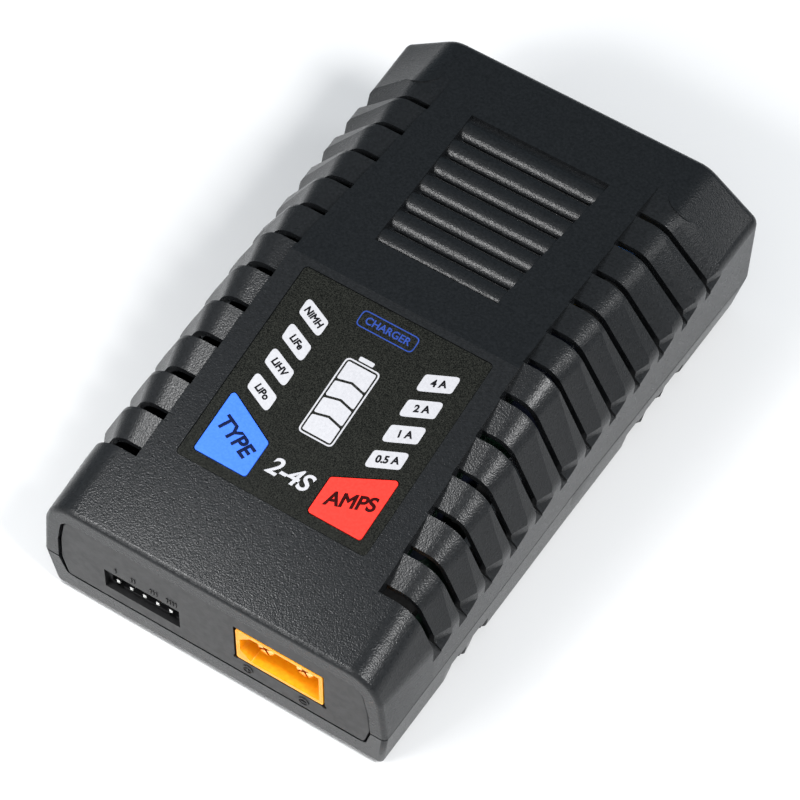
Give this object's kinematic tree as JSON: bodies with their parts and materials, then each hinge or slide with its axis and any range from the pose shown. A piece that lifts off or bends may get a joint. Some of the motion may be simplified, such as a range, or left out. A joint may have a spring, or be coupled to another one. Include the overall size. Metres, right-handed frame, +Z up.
{
  "type": "balance battery charger",
  "caption": "Mains balance charger in a ridged black case with louvred flanks, two keys on a sloping label, a balance socket and a two-pin yellow output.",
  "frame": {"origin": "middle of the base, on the surface that the charger stands on", "axes": "+Z up; +Y towards the rear with the mains inlet, so -Y is the front with the battery outputs; +X to the right seen from the front"},
  "size_m": [0.0678, 0.1072, 0.036],
  "materials": {
    "case_plastic": "fine spark-eroded grain",
    "panel_plastic": "smooth satin",
    "label_film": "fine textured film with printed artwork",
    "blue_key": "satin printed",
    "red_key": "satin printed",
    "switch_plastic": "moulded",
    "clear_plastic": "milky",
    "board_laminate": "green solder mask",
    "steel_screw": "zinc plated",
    "led_resin": "clear resin",
    "dome_steel": "bright",
    "socket_plastic": "moulded",
    "tinned_pin": "bright tin",
    "output_plastic": "moulded nylon",
    "gold_pin": "gold plated",
    "fuse_case": "moulded",
    "blue_resin": "dipped",
    "yellow_case": "moulded",
    "ferrite": "sintered",
    "copper_wire": "enamelled",
    "black_resin": "moulded epoxy",
    "capacitor_sleeve": "shrunk sleeve",
    "sheet_aluminium": "sheared plate",
    "bobbin_plastic": "moulded phenolic",
    "winding_tape": "taped",
    "resistor_body": "fired glaze",
    "ribbon_jacket": "flat cable"
  },
  "bodies": {
    "case": {"upper_shell": "case_plastic", "lower_shell": "case_plastic", "case_screws": "steel_screw", "front_panel": "panel_plastic", "label_overlay": "label_film", "light_guides": "clear_plastic", "control_board": "board_laminate", "control_board_screws": "steel_screw", "indicator_leds": "led_resin", "switch_bodies": "switch_plastic", "switch_domes": "dome_steel", "main_board": "board_laminate", "balance_housing": "socket_plastic", "balance_pins": "tinned_pin", "output_housing": "output_plastic", "output_pins": "gold_pin", "inlet_housing": "socket_plastic", "inlet_pins": "tinned_pin", "mains_fuse": "fuse_case", "y_capacitor": "blue_resin", "x_capacitor": "yellow_case", "choke_core": "ferrite", "choke_windings": "copper_wire", "bridge_rectifier": "black_resin", "bulk_capacitor": "capacitor_sleeve", "primary_heatsink": "sheet_aluminium", "switching_transistor": "black_resin", "transformer_core": "ferrite", "transformer_bobbin": "bobbin_plastic", "transformer_winding": "winding_tape", "secondary_heatsink": "sheet_aluminium", "output_rectifier": "black_resin", "output_capacitors": "capacitor_sleeve", "inductor_core": "ferrite", "inductor_winding": "copper_wire", "buzzer": "black_resin", "control_chip": "black_resin", "charge_transistors": "black_resin", "balance_resistors": "resistor_body", "link_ribbon": "ribbon_jacket", "link_connectors": "socket_plastic"},
    "mode_button": {"mode_key": "blue_key", "mode_plunger": "switch_plastic"},
    "current_button": {"current_key": "red_key", "current_plunger": "switch_plastic"}
  },
  "joints": [
    {"name": "mode_press", "type": "slide", "parent": "case", "child": "mode_button", "axis": [0, 0.2046, -0.9788], "range_m": [0, 0.0003], "stiffness_N_per_m": 4000},
    {"name": "current_press", "type": "slide", "parent": "case", "child": "current_button", "axis": [0, 0.2046, -0.9788], "range_m": [0, 0.0003], "stiffness_N_per_m": 4000}
  ]
}
